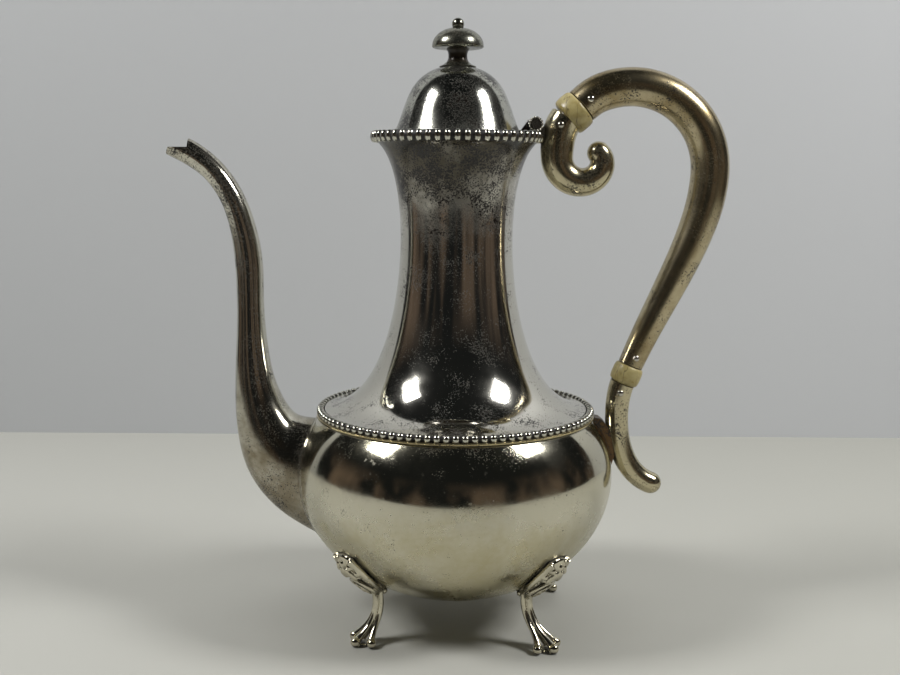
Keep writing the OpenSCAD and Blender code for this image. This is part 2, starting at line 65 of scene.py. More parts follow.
STRAINER_HOLES, HOLE_R, HOLE_RING_Y, HOLE_RING_Z = 8, 1.8, 7, 11
NECK_FOOT_R, NECK_FOOT_INNER_R = 47.2, 45.8
SEAT_INNER_R, SEAT_R, SEAT_LOW_Z, SEAT_TOP_Z = 24.2, 28.4, 174.6, 175.5
# each wire's half width and half height, and each grain's share of its pitch
SHOULDER_WIRE, SHOULDER_SHARE = (0.85, 0.95), 0.86
RIM_WIRE, RIM_WIRE_INSET, RIM_SHARE = (1.2, 1.85), 0.35, 0.76
# each insulator's radius at its ends, at its bulge and of its pegs
UPPER_BONE, LOWER_BONE, PEG_LENGTH = (6.2, 7.15, 4.2), (4.5, 5.4, 3), 5
FLANGE_THICK, LID_WALL, LID_R = 1.2, 1, 27.1
SKIRT_INNER_R, SKIRT_R, SKIRT_LOW_Z = 22.3, 23.2, 171.5
STUD_R, STUD_LOW_Z, COLLAR_H, STEM_TOP_Z = 1.5, 195.5, 1.6, 206.2
CAP_R, CAP_Z, CAP_RISE = 9, 207, 6.4
BALL_R, BALL_Z, BALL_SEAT_R, BALL_SEAT_Z = 2.15, 214.6, 2.4, 213.05
ROSETTE_BEADS, ROSETTE_R, ROSETTE_BEAD_R = 14, 2.25, 0.45
TURN_STEPS = 192


# ---- outlines ---------------------------------------------------------------
def bezier(points, count):
    """A smooth line of count + 1 points, each with as many numbers as given."""
    line = []
    for i in range(count + 1):
        t = i / count
        weights = ((1 - t) ** 3, 3 * (1 - t) ** 2 * t, 3 * (1 - t) * t * t, t**3)
        line.append(tuple(sum(w * p[k] for w, p in zip(weights, points))
                          for k in range(len(points[0]))))
    return line


def through(stations, count):
    """A smooth line through every station, count points from one to the next."""
    line = []
    last = len(stations) - 1
    for i in range(last):
        a, b = stations[max(i - 1, 0)], stations[i]
        c, d = stations[i + 1], stations[min(i + 2, last)]
        for j in range(count):
            t = j / count
            line.append(tuple(
                0.5 * (2 * q + (r - p) * t + (2 * p - 5 * q + 4 * r - s) * t * t
                       + (3 * q - p - 3 * r + s) * t**3)
                for p, q, r, s in zip(a, b, c, d)))
    return line + [tuple(stations[-1])]


def eased(line, passes):
    """The line with its small kinks eased out and its ends kept."""
    for _ in range(passes):
        line = ([line[0]] + [
            tuple((p + 2 * q + r) / 4 for p, q, r in zip(*line[i - 1:i + 2]))
            for i in range(1, len(line) - 1)] + [line[-1]])
    return line


def moved_in(line, distance):
    """The outline moved sideways by the sheet's thickness, to its left."""
    inner = []
    for i, (r, z) in enumerate(line):
        before, after = line[max(i - 1, 0)], line[min(i + 1, len(line) - 1)]
        dr, dz = after[0] - before[0], after[1] - before[1]
        length = hypot(dr, dz)
        inner.append((r - distance * dz / length, z + distance * dr / length))
    return inner


def globe_radius(z, less=0):
    half = (GLOBE_UP if z > GLOBE_Z else GLOBE_DOWN) - less
    return (GLOBE_R - less) * sqrt(max(0, 1 - ((z - GLOBE_Z) / half) ** 2))


# ---- shapes -----------------------------------------------------------------
def turned(outline, closed=True, steps=TURN_STEPS):
    """An outline of (radius, height) points spun about the pot's axis."""
    bm = bmesh.new()
    points = [bm.verts.new((r, 0, z)) for r, z in outline]
    edges = [bm.edges.new(pair) for pair in zip(points, points[1:])]
    if closed:
        edges.append(bm.edges.new((points[-1], points[0])))
    bmesh.ops.spin(bm, geom=points + edges, axis=(0, 0, 1), angle=2 * pi,
                   steps=steps, use_merge=True)
    bmesh.ops.remove_doubles(bm, verts=bm.verts, dist=1e-4)
    bmesh.ops.recalc_face_normals(bm, faces=bm.faces)
    return bm


def ring_matrix(centre, side, up):
    """Puts a unit circle at centre, its X along side and its Y along up."""
    normal = side.cross(up).normalized()
    matrix = Matrix.Identity(4)
    matrix.col[0][:3], matrix.col[1][:3] = side, up
    matrix.col[2][:3], matrix.col[3][:3] = normal, centre
    return matrix


def lofted(bm, places, sides, capped=True):
    """Circles, one at each place, joined one after the other into a tube."""
    made = bmesh.ops.create_circle(bm, segments=sides, radius=1, matrix=places[0])
    ring = made["verts"]
    edges = list({e for v in ring for e in v.link_edges})
    first, verts = edges, list(ring)
    for before, after in zip(places, places[1:]):
        grown = bmesh.ops.extrude_edge_only(bm, edges=edges)["geom"]
        ring = [g for g in grown if isinstance(g, bmesh.types.BMVert)]
        edges = [g for g in grown if isinstance(g, bmesh.types.BMEdge)
                 and all(v in ring for v in g.verts)]
        bmesh.ops.transform(bm, matrix=after @ before.inverted(), verts=ring)
        verts += ring
    if capped:
        for end, place in ((first, places[0]), (edges, places[-1])):
            rim = list({v for e in end for v in e.verts})
            tip = bmesh.ops.extrude_edge_only(bm, edges=end)["geom"]
            tip = [g for g in tip if isinstance(g, bmesh.types.BMVert)]
            centre = sum((v.co for v in rim), Vector()) / len(rim)
            bmesh.ops.pointmerge(bm, verts=tip, merge_co=centre)
    bmesh.ops.recalc_face_normals(bm, faces=bm.faces)
    return [v for v in verts if v.is_valid]


def plane_places(stations):
    """Places along stations of (x, z, depth in the plane, width across it)."""
    places = []
    for i, (x, z, depth, width) in enumerate(stations):
        before, after = stations[max(i - 1, 0)], stations[min(i + 1, len(stations) - 1)]
        dx, dz = after[0] - before[0], after[1] - before[1]
        length = hypot(dx, dz)
        side = Vector((-dz, 0, dx)) / length * depth
        places.append(ring_matrix(Vector((x, 0, z)), side, Vector((0, -width, 0))))
    return places


def round_tip(stations, count=5):
    """A round end for a tube: the places that follow its last station."""
    (x0, z0, *_), (x, z, depth, width) = stations[-2:]
    length = hypot(x - x0, z - z0)
    dx, dz = (x - x0) / length, (z - z0) / length
    places = []
    for i in range(1, count + 1):
        a = radians(84) * i / count
        places.append(ring_matrix(
            Vector((x + depth * sin(a) * dx, 0, z + depth * sin(a) * dz)),
            Vector((-dz, 0, dx)) * depth * cos(a), Vector((0, -width * cos(a), 0))))
    return places


def swept(bm, path, radii, sides=10, flat=1.0, hint=Vector((0, 1, 0))):
    """A solid rod along path, its cross-section pressed to flat times its width."""
    places = []
    for i, point in enumerate(path):
        run = (path[min(i + 1, len(path) - 1)] - path[max(i - 1, 0)]).normalized()
        side = (hint - run * hint.dot(run)).normalized()
        places.append(ring_matrix(point, side * radii[i],
                                  run.cross(side) * radii[i] * flat))
    lofted(bm, places, sides)


def new_object(name, bm):
    """The mesh bm as an object of the scene."""
    mesh = bpy.data.meshes.new(name)
    bm.to_mesh(mesh)
    bm.free()
    made = bpy.data.objects.new(name, mesh)
    scene.collection.objects.link(made)
    return made


def worked(blank, *tools):
    """The mesh of blank after its modifiers. blank and its tools are used up."""
    result = blank.evaluated_get(bpy.context.evaluated_depsgraph_get()).to_mesh()
    bm = bmesh.new()
    bm.from_mesh(result)
    for spent in (blank, *tools):
        mesh = spent.data
        bpy.data.objects.remove(spent)
        bpy.data.meshes.remove(mesh)
    return bm


def melted(bm, grain, passes):
    """Overlapping shapes joined into one casting and smoothed, as in a mould."""
    blank = new_object("casting", bm)
    join = blank.modifiers.new("join", "REMESH")
    join.mode, join.voxel_size = "VOXEL", grain
    soften = blank.modifiers.new("soften", "SMOOTH")
    soften.factor, soften.iterations = 0.5, passes
    return worked(blank)


def cut_away(bm, cutter):
    """The mesh bm with the closed mesh cutter taken out of it."""
    blank, tool = new_object("blank", bm), new_object("cutter", cutter)
    cut = blank.modifiers.new("cut", "BOOLEAN")
    cut.operation, cut.solver, cut.object = "DIFFERENCE", "EXACT", tool
    return worked(blank, tool)


def piece(name, bm, body, finish, slot, *nodes, crease=40):
    """Adds a finished object at the origin, its place in its mesh."""
    bmesh.ops.transform(bm, matrix=PLACE, verts=bm.verts)
    made = new_object(name, bm)
    made.data.shade_smooth()
    made.data.set_sharp_from_angle(angle=radians(crease))
    made.data.materials.append(finish)
    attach(made, body)
    if nodes:
        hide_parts(*nodes)


# ---- finishes ---------------------------------------------------------------
class Tree:
    """A short way to add and join the nodes of a material or a group."""

    def __init__(self, tree):
        self.tree = tree

    def add(self, kind, inputs=None, **settings):
        made = self.tree.nodes.new("ShaderNode" + kind)
        for name, value in settings.items():
            setattr(made, name, value)
        for name, value in (inputs or {}).items():
            self.put(made.inputs[name], value)
        return made

    def put(self, socket, value):
        if isinstance(value, bpy.types.NodeSocket):
            self.tree.links.new(value, socket)
        else:
            socket.default_value = value

    def math(self, operation, *values, clamp=False):
        made = self.add("Math", operation=operation, use_clamp=clamp)
        for socket, value in zip(made.inputs, values):
            self.put(socket, value)
        return made.outputs[0]

    def noise(self, position, scale, detail=3, roughness=0.55, distortion=0):
        return self.add("TexNoise", {"Vector": position, "Scale": scale,
                                     "Detail": detail, "Roughness": roughness,
                                     "Distortion": distortion}).outputs[0]

    def step(self, value, low, high, to_low=0, to_high=1):
        """A soft step from to_low to to_high as value passes low to high."""
        made = self.add("MapRange", interpolation_type="SMOOTHSTEP")
        for socket, given in zip(made.inputs, (value, low, high, to_low, to_high)):
            self.put(socket, given)
        return made.outputs[0]

    def mix(self, amount, first, second):
        made = self.add("Mix", data_type="RGBA")
        for socket, value in ((made.inputs[0], amount), (made.inputs[6], first),
                              (made.inputs[7], second)):
            self.put(socket, value)
        return made.outputs[2]


def group(name, inputs, outputs):
    """An empty shader group with named sockets, its Tree and both its ends."""
    made = bpy.data.node_groups.new(name, "ShaderNodeTree")
    for title, kind in inputs:
        made.interface.new_socket(title, in_out="INPUT", socket_type=kind)
    for title, kind in outputs:
        made.interface.new_socket(title, in_out="OUTPUT", socket_type=kind)
    start = made.nodes.new("NodeGroupInput")
    end = made.nodes.new("NodeGroupOutput")
    return made, Tree(made), start.outputs, end.inputs


VALUE, VECTOR, COLOR = "NodeSocketFloat", "NodeSocketVector", "NodeSocketColor"


def make_specks():
    """Small dark tarnish specks that gather in drifts."""
    made, tree, given, out = group(
        "tarnish_specks", [("Position", VECTOR), ("Amount", VALUE), ("Scale", VALUE)],
        [("Mask", VALUE)])
    grains = tree.noise(given["Position"], given["Scale"], 2, 0.7)
    drifts = tree.noise(given["Position"], tree.math("MULTIPLY", given["Scale"], 0.06),
                        4, 0.65)
    drifts = tree.math("MULTIPLY_ADD", drifts, 0.9, -0.45)
    level = tree.math("ADD", grains, drifts)
    level = tree.math("MULTIPLY_ADD", given["Amount"], 0.3, level)
    mask = tree.step(level, 0.76, 0.84)
    some = tree.step(given["Amount"], 0, 0.15)
    tree.put(out["Mask"], tree.math("MULTIPLY", mask, some))
    return made


def make_clouds():
    """Broad uneven drifts of a thin film, with ragged edges."""
    made, tree, given, out = group(
        "tarnish_clouds", [("Position", VECTOR), ("Amount", VALUE), ("Scale", VALUE)],
        [("Mask", VALUE)])
    broad = tree.noise(given["Position"], given["Scale"], 5, 0.62, 0.6)
    fine = tree.noise(given["Position"], tree.math("MULTIPLY", given["Scale"], 14),
                      3, 0.6)
    level = tree.math("MULTIPLY_ADD", fine, 0.25, broad)
    level = tree.math("ADD", level, given["Amount"])
    tree.put(out["Mask"], tree.step(level, 0.85, 1.35))
    return made


def make_crevice_grime_and_shade():
    """Grime that stays where a cloth can't reach, with painted shade: the mask follows ambient
    occlusion, darker where the surface is hemmed in.
    """
    made, tree, given, out = group(
        "crevice_grime_and_shade", [("Reach", VALUE), ("Amount", VALUE)], [("Mask", VALUE)])
    shade = tree.add("AmbientOcclusion", {"Distance": given["Reach"]}, samples=8)
    hidden = tree.step(shade.outputs["AO"], 0.3, 0.8, 1, 0)
    tree.put(out["Mask"], tree.math("MULTIPLY", hidden, given["Amount"]))
    return made


def make_aged_silver(specks, clouds, grime_and_shade_effect):
    """The colour, roughness and relief of old silver, from its amounts of wear and of grime with
    painted crevice shade.
    """
    made, tree, given, out = group(
        "aged_silver",
        [("Position", VECTOR), ("Silver", COLOR), ("Film", COLOR), ("Specks", VALUE),
         ("Clouds", VALUE), ("Frost", VALUE), ("Grime And Shade", VALUE), ("Grime And Shade Reach", VALUE),
         ("Dull", VALUE), ("Matt", VALUE)],
        [("Color", COLOR), ("Roughness", VALUE), ("Metallic", VALUE), ("Height", VALUE)])
    position = given["Position"]

    def place(effect, **inputs):
        return tree.add("Group", inputs, node_tree=effect).outputs[0]

    film = place(clouds, Position=position, Amount=given["Clouds"], Scale=28.0)
    fleck = place(specks, Position=position, Amount=given["Specks"], Scale=1800.0)
    haze = place(specks, Position=position, Amount=given["Frost"], Scale=420.0)
    bloom = place(clouds, Position=position, Amount=given["Frost"], Scale=40.0)
    frost = tree.math("MULTIPLY_ADD", haze, 0.5, tree.math("MULTIPLY", bloom, 0.6),
                      clamp=True)
    grime_and_shade_mask = place(grime_and_shade_effect, Reach=given["Grime And Shade Reach"], Amount=given["Grime And Shade"])
    film_share = tree.math("MULTIPLY", film, 0.95)
    color = tree.mix(film_share, given["Silver"], given["Film"])
    color = tree.mix(tree.math("MULTIPLY", frost, 0.25), color, (0.8, 0.78, 0.7, 1))
    color = tree.mix(fleck, color, (0.012, 0.009, 0.007, 1))
    # near black in hollows and between parts: grime together with painted shade from ambient
    # occlusion
    color = tree.mix(grime_and_shade_mask, color, (0.012, 0.009, 0.006, 1))
    tree.put(out["Color"], color)
    rough = tree.noise(position, 60, 4, 0.6)
    rough = tree.step(rough, 0.35, 0.75, 0.07, 0.15)
    rough = tree.math("ADD", rough, given["Dull"])
    rough = tree.math("MULTIPLY_ADD", film, 0.1, rough)
    rough = tree.math("MULTIPLY_ADD", frost, 0.3, rough)
    rough = tree.math("MULTIPLY_ADD", fleck, 0.04, rough)
    rough = tree.math("MULTIPLY_ADD", grime_and_shade_mask, 0.2, rough, clamp=True)
    tree.put(out["Roughness"], rough)
    bare = tree.math("MULTIPLY", tree.math("MULTIPLY", film, given["Matt"]), -1)
    bare = tree.math("ADD", bare, 1)
    bare = tree.math("MULTIPLY_ADD", fleck, -1, bare)
    bare = tree.math("MULTIPLY_ADD", grime_and_shade_mask, -0.9, bare, clamp=True)
    tree.put(out["Metallic"], bare)
    dents = tree.noise(position, 26, 2, 0.5)
    scratches = tree.add("Mapping", {"Vector": position, "Scale": (30, 260, 1400)})
    scratches = tree.noise(scratches.outputs[0], 1, 2, 0.6)
    height = tree.math("MULTIPLY_ADD", scratches, 0.005, dents)
    height = tree.math("MULTIPLY_ADD", fleck, -0.01, height)
    tree.put(out["Height"], height)
    return made


SPECKS, CLOUDS, CREVICE_GRIME_AND_SHADE = make_specks(), make_clouds(), make_crevice_grime_and_shade()
AGED_SILVER = make_aged_silver(SPECKS, CLOUDS, CREVICE_GRIME_AND_SHADE)


def by_height(tree, position, stops):
    """A value that follows height: stops of (height in mm, value)."""
    low, high = stops[0][0] / 1000, stops[-1][0] / 1000
    z = tree.add("SeparateXYZ", {"Vector": position}).outputs["Z"]
    share = tree.add("MapRange", {"Value": z, "From Min": low, "From Max": high})
    ramp = tree.add("ValToRGB", {"Fac": share.outputs[0]})
    marks = ramp.color_ramp.elements
    marks.remove(marks[1])
    for i, (height, value) in enumerate(stops):
        share_up = (height / 1000 - low) / (high - low)
        mark = marks.new(share_up) if i else marks[0]
        mark.position = share_up
        mark.color = (value, value, value, 1)
    return ramp.outputs["Color"]


def new_finish(name):
    """A new material, its Tree, its shader and its Object coordinates."""
    made = bpy.data.materials.new(name)
    made.use_nodes = True
    tree = Tree(made.node_tree)
    position = tree.add("TexCoord").outputs["Object"]
    return made, tree, made.node_tree.nodes["Principled BSDF"], position


def silver_finish(name, silver=(0.72, 0.71, 0.65), film=(0.33, 0.27, 0.16),
                  specks=0.2, clouds=0.0, frost=0.0, grime_and_shade=0.9, reach=0.0015,
                  relief=0.00012, dull=0.0, matt=0.0):
    """Old silver. Each amount is a number, or stops of (height in mm, value)."""
    made, tree, shader, position = new_finish(name)
    wear = tree.add("Group", node_tree=AGED_SILVER)
    for title, value in (("Position", position), ("Silver", (*silver, 1)),
                         ("Film", (*film, 1)), ("Grime And Shade", grime_and_shade),
                         ("Grime And Shade Reach", reach), ("Specks", specks),
                         ("Clouds", clouds), ("Frost", frost), ("Dull", dull),
                         ("Matt", matt)):
        if isinstance(value, list):
            value = by_height(tree, position, value)
        tree.put(wear.inputs[title], value)
    relief_bump = tree.add("Bump", {"Strength": 1.0, "Distance": relief,
                                    "Height": wear.outputs["Height"]})
    tree.put(shader.inputs["Base Color"], wear.outputs["Color"])
    tree.put(shader.inputs["Roughness"], wear.outputs["Roughness"])
    tree.put(shader.inputs["Metallic"], wear.outputs["Metallic"])
    tree.put(shader.inputs["Normal"], relief_bump.outputs[0])
    return made


def bone_finish(name, tilt):
    """Yellowed bone, satin, with fine dark cracks along an axis tilted from Z."""
    made, tree, shader, position = new_finish(name)
    mottle = tree.noise(position, 260, 4, 0.6)
    color = tree.mix(tree.step(mottle, 0.3, 0.7), (0.33, 0.26, 0.09, 1),
                     (0.46, 0.39, 0.18, 1))
    lengthwise = tree.add("Mapping", {"Vector": position, "Rotation": (0, -tilt, 0),
                                      "Scale": (260, 260, 18)})
    grain = tree.noise(lengthwise.outputs[0], 1, 2, 0.5)
    crack = tree.math("ABSOLUTE", tree.math("SUBTRACT", grain, 0.5))
    color = tree.mix(tree.step(crack, 0.002, 0.014, 0.75, 0), color,
                     (0.10, 0.07, 0.03, 1))
    # darker in hollows and against the pegs: grime together with painted shade from ambient
    # occlusion
    grime_and_shade_mask = tree.add("Group", {"Reach": 0.0012, "Amount": 0.85}, node_tree=CREVICE_GRIME_AND_SHADE)
    color = tree.mix(grime_and_shade_mask.outputs[0], color, (0.09, 0.06, 0.025, 1))
    tree.put(shader.inputs["Base Color"], color)
    tree.put(shader.inputs["Roughness"], tree.step(mottle, 0.2, 0.8, 0.24, 0.42))
    bump = tree.add("Bump", {"Strength": 0.5, "Distance": 0.0001, "Height": mottle})
    tree.put(shader.inputs["Normal"], bump.outputs[0])
    return made


globe_silver = silver_finish(
    "globe_silver", silver=(0.62, 0.59, 0.47), film=(0.47, 0.42, 0.24),
    specks=[(11, 0.3), (30, 0.2), (50, 0.15), (70, 0.15), (78, 0.6)],
    frost=[(11, 0.2), (28, 0.5), (52, 0.6), (66, 0.15), (78, 0.0)],
    clouds=[(11, 0.5), (26, 0.55), (44, 0.5), (60, 0.15), (78, 0.3)], reach=0.0015,
    relief=0.0004)
neck_silver = silver_finish(
    "neck_silver", silver=(0.66, 0.64, 0.57), film=(0.055, 0.044, 0.024),
    specks=[(79, 0.6), (90, 0.3), (115, 0.35), (140, 0.5), (155, 0.85), (172, 1.1)],
    clouds=[(79, 0.1), (90, 0.0), (130, 0.0), (142, 0.3), (155, 0.5), (174, 0.65)],
    frost=[(79, 0.15), (100, 0.0), (174, 0.0)], reach=0.003, matt=0.6)
dome_silver = silver_finish(
    "dome_silver", silver=(0.42, 0.42, 0.37), film=(0.08, 0.07, 0.045),
    specks=[(175, 1.0), (182, 0.85), (190, 0.75), (200, 0.9)],
    clouds=[(175, 0.45), (181, 0.15), (192, 0.0), (200, 0.2)], reach=0.002, dull=0.03,
    matt=0.6)
finial_silver = silver_finish("finial_silver", silver=(0.27, 0.27, 0.22), specks=0.7,
                              clouds=0.25, reach=0.002, dull=0.13, matt=0.5)
# near black: tarnish, with painted shade for the shadow under the cap
shaded_stem_silver = silver_finish("shaded_stem_silver", silver=(0.10, 0.08, 0.055), specks=0.8,
                            film=(0.03, 0.022, 0.013), clouds=0.6, reach=0.003,
                            dull=0.1, matt=0.8)
# near black and not metallic: painted shade in the gaps between the grains and below them, with
# grime
gap_grime_and_shade = silver_finish("gap_grime_and_shade", silver=(0.008, 0.006, 0.005),
                           film=(0.008, 0.006, 0.005), clouds=1.5, dull=0.3, matt=1.0)
bead_silver = silver_finish("bead_silver", silver=(0.56, 0.55, 0.48), specks=0.3,
                            clouds=0.1, grime_and_shade=1.0, reach=0.0014, dull=0.05)
spout_silver = silver_finish(
    "spout_silver", silver=(0.62, 0.60, 0.51), film=(0.17, 0.13, 0.07),
    specks=[(30, 0.65), (60, 0.55), (90, 0.45), (140, 0.6), (160, 0.8)],
    clouds=[(30, 0.5), (48, 0.6), (60, 0.5), (82, 0.35), (110, 0.1), (175, 0.4)],
    frost=[(30, 0.5), (56, 0.45), (68, 0.0), (100, 0.0)], reach=0.003, dull=0.02)
grip_silver = silver_finish(
    "grip_silver", silver=(0.56, 0.49, 0.33), film=(0.24, 0.17, 0.065), specks=0.5,
    clouds=0.4, reach=0.002, dull=0.11)
socket_silver = silver_finish(
    "socket_silver", silver=(0.57, 0.51, 0.34), film=(0.15, 0.105, 0.04), specks=0.45,
    clouds=0.3, reach=0.004, dull=0.08)
rail_silver = silver_finish("rail_silver", silver=(0.58, 0.50, 0.29), specks=0.5,
                            film=(0.20, 0.14, 0.06), clouds=0.35, dull=0.1)
bracket_silver = silver_finish(
    "bracket_silver", silver=(0.50, 0.40, 0.24), film=(0.16, 0.09, 0.04), specks=0.8,
    clouds=0.8, reach=0.004, dull=0.15)
foot_silver = silver_finish("foot_silver", silver=(0.66, 0.62, 0.49), specks=0.2,
                            film=(0.10, 0.075, 0.035), clouds=0.3, grime_and_shade=1.0,
                            reach=0.0022, dull=0.03)
pin_silver = silver_finish("pin_silver", silver=(0.5, 0.48, 0.42), specks=0.2,
                           clouds=0.1, reach=0.001, dull=0.1)
hinge_silver = silver_finish("hinge_silver", silver=(0.20, 0.18, 0.14), specks=0.8,
                             film=(0.035, 0.028, 0.018), clouds=0.5, reach=0.002,
                             dull=0.1, matt=0.6)
inner_silver = silver_finish("inner_silver", silver=(0.5, 0.45, 0.35), specks=0.8,
                             clouds=0.6, reach=0.004, dull=0.15)

# ---- globe and neck ---------------------------------------------------------
flat_z = GLOBE_Z - GLOBE_DOWN * sqrt(1 - (GLOBE_FLAT_R / GLOBE_R) ** 2)


def globe_line(less, count=72):
    """The globe's side from its flat to the shoulder, moved in by less."""
    start = asin((flat_z + less - GLOBE_Z) / (GLOBE_DOWN - less))
    stop = asin((GLOBE_TOP_Z - GLOBE_Z) / (GLOBE_UP - less))
    line = []
    for i in range(count + 1):
        a = start + (stop - start) * i / count
        half = (GLOBE_UP if a > 0 else GLOBE_DOWN) - less
        line.append(((GLOBE_R - less) * cos(a), GLOBE_Z + half * sin(a)))
    return line


outer, inner = globe_line(0), globe_line(SHEET)
globe = turned([(0, flat_z)] + outer + inner[::-1] + [(0, flat_z + SHEET)],
               closed=False)
holes = bmesh.new()
for i in range(STRAINER_HOLES + 1):
    a = 2 * pi * i / STRAINER_HOLES
    y, z = ((HOLE_RING_Y * sin(a), SPOUT_Z + HOLE_RING_Z * cos(a))
            if i < STRAINER_HOLES else (0, SPOUT_Z))
    bmesh.ops.create_cone(
        holes, cap_ends=True, segments=20, radius1=HOLE_R, radius2=HOLE_R, depth=22,
        matrix=Matrix.Translation((-GLOBE_R + 6, y, z)) @ Matrix.Rotation(pi / 2, 4, "Y"))
piece("globe_body", cut_away(globe, holes), "pot", globe_silver, "silver", "globe")

neck_line = bezier(NECK_LOW, 48) + bezier(NECK_HIGH, 32)[1:]
neck_inner = moved_in(neck_line, SHEET)
neck_inner[0] = (neck_inner[0][0], max(neck_inner[0][1], STRIP_TOP_Z))
neck_inner[-1] = (neck_inner[-1][0], neck_line[-1][1])
piece("neck_body", turned([(NECK_FOOT_R, STRIP_TOP_Z)] + neck_line + neck_inner[::-1]
                          + [(NECK_FOOT_INNER_R, STRIP_TOP_Z)]),
      "pot", neck_silver, "silver", "neck")

piece("mouth_seat", turned([(SEAT_INNER_R, SEAT_LOW_Z), (SEAT_R, SEAT_LOW_Z),
                            (SEAT_R, SEAT_TOP_Z), (SEAT_INNER_R, SEAT_TOP_Z)]),
      "pot", neck_silver, "silver", "mouth_ring")
piece("shoulder_rail", turned([(46, GLOBE_TOP_Z), (49.7, GLOBE_TOP_Z), (50.1, 77.1),
                               (50.1, 77.55), (49.8, STRIP_TOP_Z), (46, STRIP_TOP_Z)]),
      "pot", rail_silver, "worn_silver", "shoulder_strip")


# ---- beading ----------------------------------------------------------------
def beads(count, row_r, row_z, r, h, share):
    """Grains of rounded-block shape in a ring, each share of its pitch wide."""
    bm = bmesh.new()
    half = row_r * sin(pi / count) * share
    for i in range(count):
        grain = bmesh.ops.create_uvsphere(bm, u_segments=14, v_segments=8, radius=1)
        for v in grain["verts"]:
            v.co = Vector([copysign(abs(c) ** 0.92, c) for c in v.co])
        bmesh.ops.transform(
            bm, verts=grain["verts"],
            matrix=Matrix.Rotation(2 * pi * i / count, 4, "Z")
            @ Matrix.Translation((row_r, 0, row_z)) @ Matrix.Diagonal((r, half, h, 1)))
    return bm


def wire(row_r, row_z, r, h):
    """The thin wire that carries a ring of beads."""
    return turned([(row_r + r * cos(pi * i / 6), row_z + h * sin(pi * i / 6))
                   for i in range(12)])


piece("shoulder_beading", beads(SHOULDER_BEADS, SHOULDER_R, SHOULDER_Z,
                                SHOULDER_BEAD_R, SHOULDER_BEAD_R, SHOULDER_SHARE),
      "pot", bead_silver, "silver", "shoulder_beads", crease=180)
piece("shoulder_wire", wire(SHOULDER_R, SHOULDER_Z, *SHOULDER_WIRE), "pot", gap_grime_and_shade,
      "silver")
piece("rim_beading", beads(RIM_BEADS, RIM_R, RIM_Z, RIM_BEAD_R, RIM_BEAD_H, RIM_SHARE),
      "pot", bead_silver, "silver", "rim_beads", crease=180)
piece("rim_wire", wire(RIM_R - RIM_WIRE_INSET, RIM_Z, *RIM_WIRE), "pot", gap_grime_and_shade,
      "silver")

# ---- spout ------------------------------------------------------------------
# back x, back z, front x, front z, half width
SPOUT_STATIONS = [
    (-47, 30.1, -51, 74.7, 15), (-61.5, 38.5, -57.5, 75.8, 13.4),
    (-71, 47.7, -61, 79.5, 11.8), (-77, 58.8, -63.5, 84, 10),
    (-79.6, 73, -66, 91, 7.8), (-79.8, 90, -67.8, 101, 6.1),
    (-78.6, 113, -69, 115, 5.1), (-79.2, 135, -69.3, 135, 4.9),
    (-82.5, 150.7, -74.4, 153.6, 4.6), (-88.5, 160.6, -81.9, 165.7, 4.4),
    (-95.5, 165.9, -90.9, 173.3, 4.3), (-102.3, 169.4, -98.5, 176.8, 4.2)]
spout_line = eased(through(SPOUT_STATIONS, 8), 6)


def spout_places(thin):
    places = []
    for back_x, back_z, front_x, front_z, width in spout_line:
        back, front = Vector((back_x, 0, back_z)), Vector((front_x, 0, front_z))
        half = (front - back) / 2
        places.append(ring_matrix((front + back) / 2,
                                  half * (1 - thin / half.length),
                                  Vector((0, thin - width, 0))))
    return places


def scribe(verts, lift=0):
    """Slides points along X onto the globe's spout side."""
    for vert in verts:
        r = globe_radius(vert.co.z) + lift
        vert.co.x = -sqrt(r * r - vert.co.y**2)


def base_place(grow):
    """The upright oval where the spout meets the globe."""
    return ring_matrix(Vector((-50, 0, SPOUT_Z)),
                       Vector((0, 0, SPOUT_BASE_A + grow)),
                       Vector((0, -SPOUT_BASE_B - grow, 0)))


SPOUT_SIDES = 72
spout = bmesh.new()
skin_places = [base_place(0)] + spout_places(0)[1:]
wall_places = spout_places(1)[:0:-1] + [base_place(-1)]
verts = lofted(spout, skin_places + wall_places, SPOUT_SIDES, capped=False)
scribe(verts[:SPOUT_SIDES])
scribe(verts[-SPOUT_SIDES:])
ends = [e for e in spout.edges if e.is_boundary]
bmesh.ops.bridge_loops(spout, edges=ends)
bmesh.ops.recalc_face_normals(spout, faces=spout.faces)
beak = bmesh.new()
bmesh.ops.create_cube(beak, size=20, matrix=Matrix.Translation((-104.3, 0, 182)))
piece("spout_body", cut_away(spout, beak), "pot", spout_silver, "silver", "spout")

collar = bmesh.new()
places = [base_place(e) for e in (2.6, 1.9, 1.2, 0.7, 0.25)]
verts = lofted(collar, places, SPOUT_SIDES, capped=False)
for i, lift in enumerate((-0.05, 0.35, 0.45, 0.3, -0.1)):
    scribe(verts[i * SPOUT_SIDES:(i + 1) * SPOUT_SIDES], lift)
bmesh.ops.recalc_face_normals(collar, faces=collar.faces)
piece("spout_fillet", collar, "pot", spout_silver, "worn_silver", "spout_collar")

# ---- handle -----------------------------------------------------------------
UPPER_START, UPPER_STOP = Vector((38.35, 182.55)), Vector((43.35, 186.9))
LOWER_START, LOWER_STOP = Vector((63.2, 95.15)), Vector((60.6, 88.7))
BEND_X, BEND_Z, BEND_R = 60.9, 165.4, 28.4
PIN_SET = 3.4
upper_dir = (UPPER_STOP - UPPER_START).normalized()
lower_dir = (LOWER_STOP - LOWER_START).normalized()

